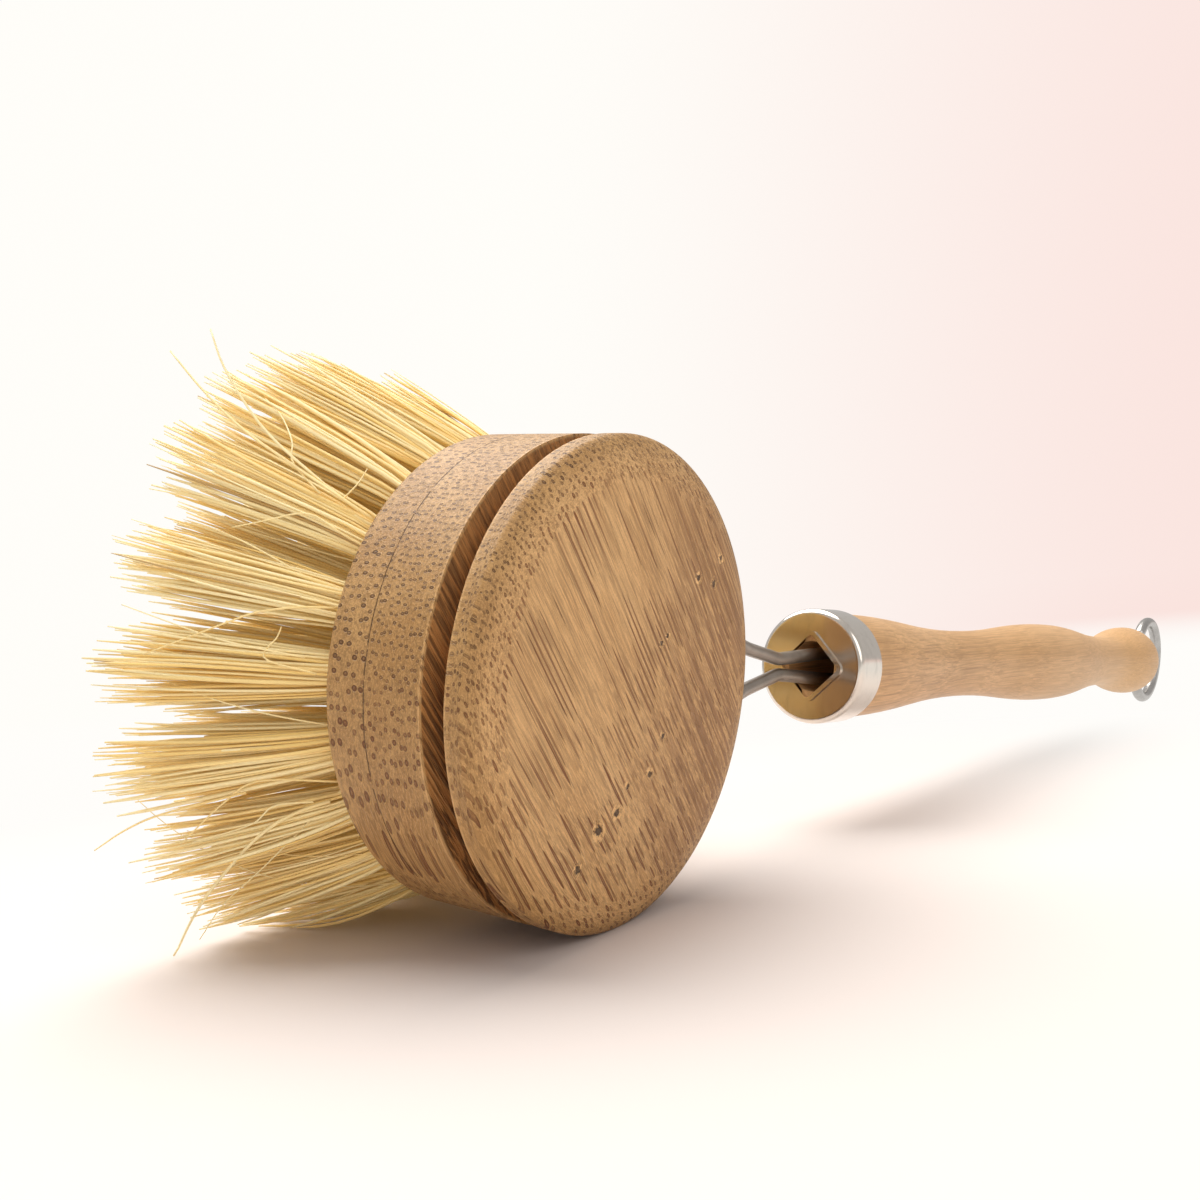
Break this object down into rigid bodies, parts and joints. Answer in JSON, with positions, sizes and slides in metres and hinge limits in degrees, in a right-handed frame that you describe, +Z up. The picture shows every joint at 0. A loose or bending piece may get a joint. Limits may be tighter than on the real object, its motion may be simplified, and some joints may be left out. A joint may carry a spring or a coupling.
{
  "type": "dish brush",
  "caption": "Round wooden dish brush with a replaceable bristle head held by a sprung wire clamp, a turned handle and a hanging hook, lying on its side.",
  "frame": {"origin": "middle of the footprint, on the surface that the brush lies on", "axes": "+X from the head towards the hook, +Y towards the bristles, +Z up; the head's axis is tilted 8.6 degrees up to the bristles and the handle slopes 4.0 degrees down to the hook"},
  "size_m": [0.2514, 0.0589, 0.0623],
  "materials": {
    "bamboo_head": "sanded bamboo, oiled",
    "bamboo_handle": "sanded bamboo, oiled",
    "bristle_fibre": "bare plant fibre",
    "plated_steel": "bright nickel plate",
    "spring_steel": "drawn wire",
    "hook_steel": "zinc plated wire",
    "anchor_wire": "flat wire"
  },
  "bodies": {
    "handle": {"handle_grip": "bamboo_handle", "ferrule": "plated_steel", "hanging_hook": "hook_steel"},
    "head": {"head_block": "bamboo_head", "bristle_board": "bamboo_head", "tuft_anchors": "anchor_wire", "tuft_centre_01": "bristle_fibre", "tuft_inner_01": "bristle_fibre", "tuft_inner_02": "bristle_fibre", "tuft_inner_03": "bristle_fibre", "tuft_inner_04": "bristle_fibre", "tuft_inner_05": "bristle_fibre", "tuft_inner_06": "bristle_fibre", "tuft_inner_07": "bristle_fibre", "tuft_middle_01": "bristle_fibre", "tuft_middle_02": "bristle_fibre", "tuft_middle_03": "bristle_fibre", "tuft_middle_04": "bristle_fibre", "tuft_middle_05": "bristle_fibre", "tuft_middle_06": "bristle_fibre", "tuft_middle_07": "bristle_fibre", "tuft_middle_08": "bristle_fibre", "tuft_middle_09": "bristle_fibre", "tuft_middle_10": "bristle_fibre", "tuft_middle_11": "bristle_fibre", "tuft_middle_12": "bristle_fibre", "tuft_middle_13": "bristle_fibre", "tuft_middle_14": "bristle_fibre", "tuft_outer_01": "bristle_fibre", "tuft_outer_02": "bristle_fibre", "tuft_outer_03": "bristle_fibre", "tuft_outer_04": "bristle_fibre", "tuft_outer_05": "bristle_fibre", "tuft_outer_06": "bristle_fibre", "tuft_outer_07": "bristle_fibre", "tuft_outer_08": "bristle_fibre", "tuft_outer_09": "bristle_fibre", "tuft_outer_10": "bristle_fibre", "tuft_outer_11": "bristle_fibre", "tuft_outer_12": "bristle_fibre", "tuft_outer_13": "bristle_fibre", "tuft_outer_14": "bristle_fibre", "tuft_outer_15": "bristle_fibre", "tuft_outer_16": "bristle_fibre", "tuft_outer_17": "bristle_fibre", "tuft_outer_18": "bristle_fibre", "tuft_outer_19": "bristle_fibre", "tuft_outer_20": "bristle_fibre"},
    "upper_arm": {"clamp_wire_upper": "spring_steel"},
    "lower_arm": {"clamp_wire_lower": "spring_steel"}
  },
  "joints": [
    {"name": "upper_arm_spread", "type": "hinge", "parent": "handle", "child": "upper_arm", "pos_m": [-0.02996, -0.01582, 0.02368], "axis": [0.0618, 0.9872, 0.147], "range_deg": [0, 1.9], "stiffness_Nm_per_rad": 0.3, "springref_deg": -1.15},
    {"name": "lower_arm_spread", "type": "hinge", "parent": "handle", "child": "lower_arm", "pos_m": [-0.03027, -0.01508, 0.01881], "axis": [-0.0618, -0.9872, -0.147], "range_deg": [0, 1.9], "stiffness_Nm_per_rad": 0.3, "springref_deg": -1.15},
    {"name": "head_rock", "type": "hinge", "parent": "handle", "child": "head", "pos_m": [-0.09441, -0.01455, 0.02517], "axis": [0.051, -0.1502, 0.9873], "range_deg": [-1, 1]}
  ]
}
